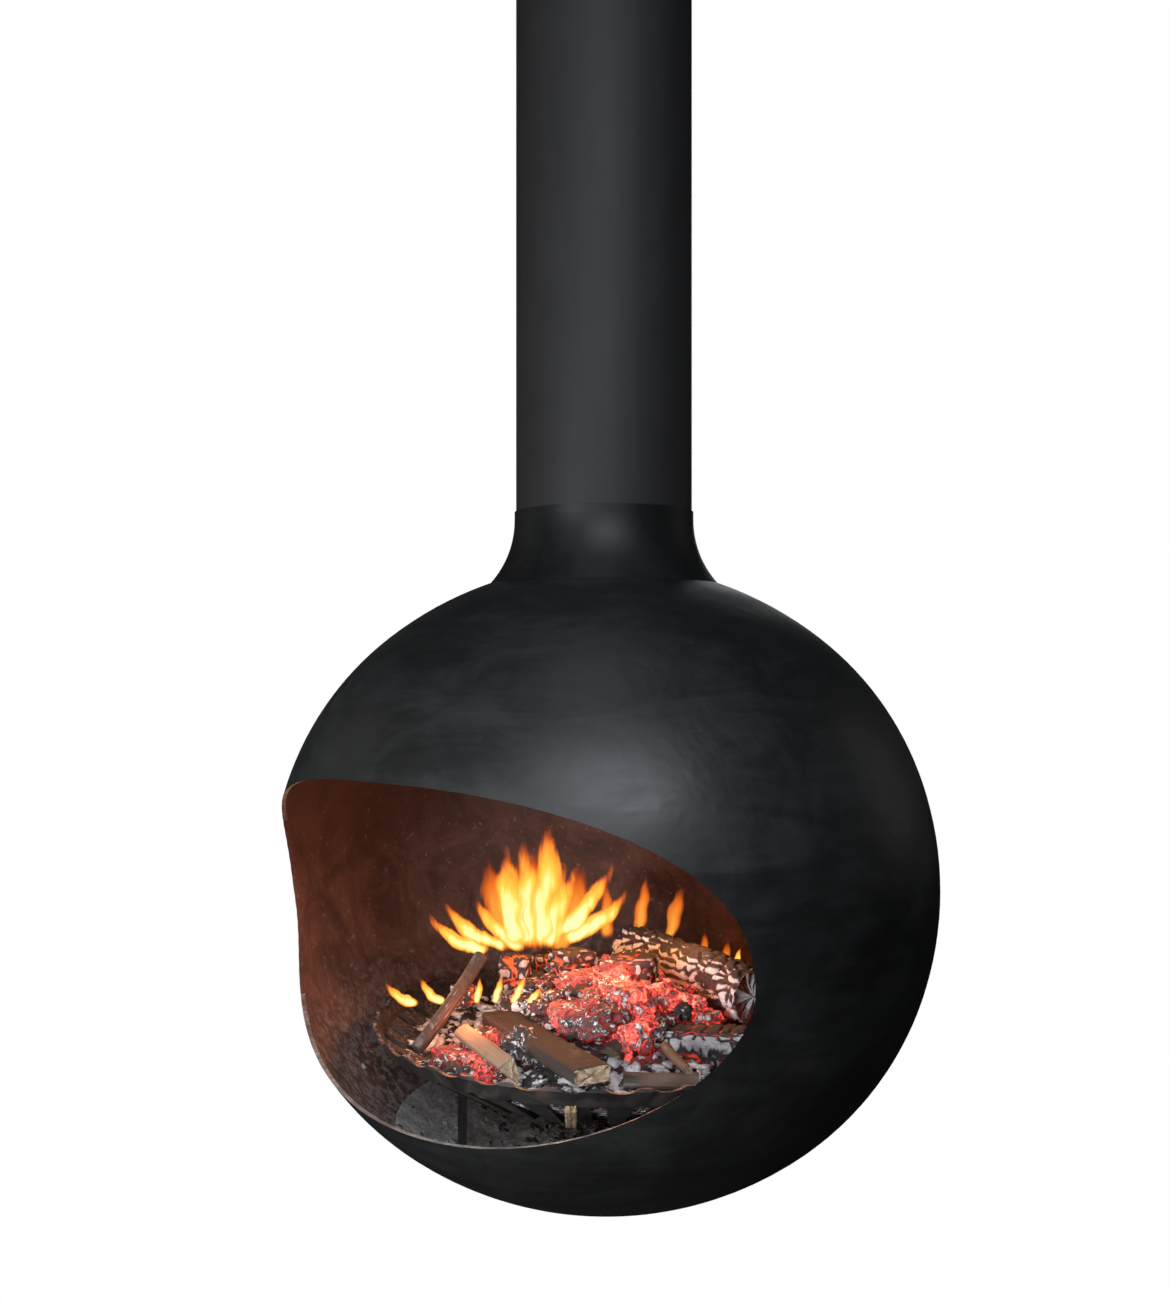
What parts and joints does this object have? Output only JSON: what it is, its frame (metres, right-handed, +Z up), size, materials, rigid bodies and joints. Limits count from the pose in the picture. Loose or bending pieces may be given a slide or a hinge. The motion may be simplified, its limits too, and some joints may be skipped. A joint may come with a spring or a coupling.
{
  "type": "chiminea",
  "caption": "Suspended ball-shaped steel chiminea: open-mouthed fire globe hung on a swivelling flue pipe and ceiling bearing, with damper and lift-out fire basket.",
  "frame": {"origin": "centre of the ceiling plate's top face, where it meets the ceiling; the object hangs below it", "axes": "+Z up along the flue and the swivel axis, -Y out of the fire globe's mouth, +X to the right when facing the mouth"},
  "size_m": [0.755, 0.729, 1.806],
  "materials": {
    "globe_steel": "hot-waxed black steel with a mottled satin patina, rust-brown inside",
    "collar_black": "satin black heat-proof paint",
    "flue_black": "matt black heat-proof paint",
    "plain_steel": "plain heat-stained steel",
    "zinc_steel": "zinc-plated steel",
    "bearing_steel": "ground bearing steel",
    "spigot_steel": "stainless flue steel",
    "fibre_rope": "white braided glass-fibre rope",
    "basket_iron": "black scaled iron, rusty where hot",
    "ash": "grey wood ash with black grit",
    "burnt_wood": "charred wood, cracked, with white ash",
    "dark_wood": "smoke-darkened split wood",
    "pale_wood": "fresh split wood",
    "bark_wood": "brown bark",
    "embers_and_flames": "glowing embers under white ash, and the flames over them"
  },
  "bodies": {
    "ceiling_mount": {"ceiling_plate": "zinc_steel", "support_drum": "zinc_steel", "drum_screws": "zinc_steel", "lower_race": "bearing_steel", "bearing_balls": "bearing_steel", "flue_spigot": "spigot_steel", "spigot_screws": "zinc_steel", "rose_brackets": "zinc_steel", "ceiling_rose_front": "flue_black", "ceiling_rose_rear": "flue_black", "rose_screws": "flue_black"},
    "fire_globe": {"upper_race": "bearing_steel", "bearing_flange": "zinc_steel", "flange_screws": "zinc_steel", "rope_seal": "fibre_rope", "flue_pipe": "flue_black", "neck_collar": "collar_black", "neck_hub": "plain_steel", "neck_screws": "zinc_steel", "globe_upper": "globe_steel", "globe_lower": "globe_steel", "ash_bed": "ash"},
    "damper": {"damper_spindle": "plain_steel", "damper_plate": "plain_steel", "damper_screws": "zinc_steel", "damper_eye": "plain_steel"},
    "fire_basket": {"basket_bowl": "basket_iron", "basket_legs": "basket_iron", "ember_bed": "embers_and_flames", "back_log": "burnt_wood", "split_plank": "dark_wood", "split_billet": "pale_wood", "leaning_stick": "bark_wood", "charred_slab": "burnt_wood", "stub_log": "bark_wood", "front_log": "bark_wood", "thin_stick": "bark_wood", "charcoal": "burnt_wood"}
  },
  "joints": [
    {"name": "swivel", "type": "hinge", "parent": "ceiling_mount", "child": "fire_globe", "pos_m": [0, 0, 0], "axis": [0, 0, 1], "continuous": true},
    {"name": "basket_lift", "type": "slide", "parent": "fire_globe", "child": "fire_basket", "axis": [0, 0, 1], "range_m": [0, 0.1]},
    {"name": "damper_turn", "type": "hinge", "parent": "fire_globe", "child": "damper", "pos_m": [0, 0, -0.976], "axis": [1, 0, 0], "range_deg": [0, 90]}
  ]
}
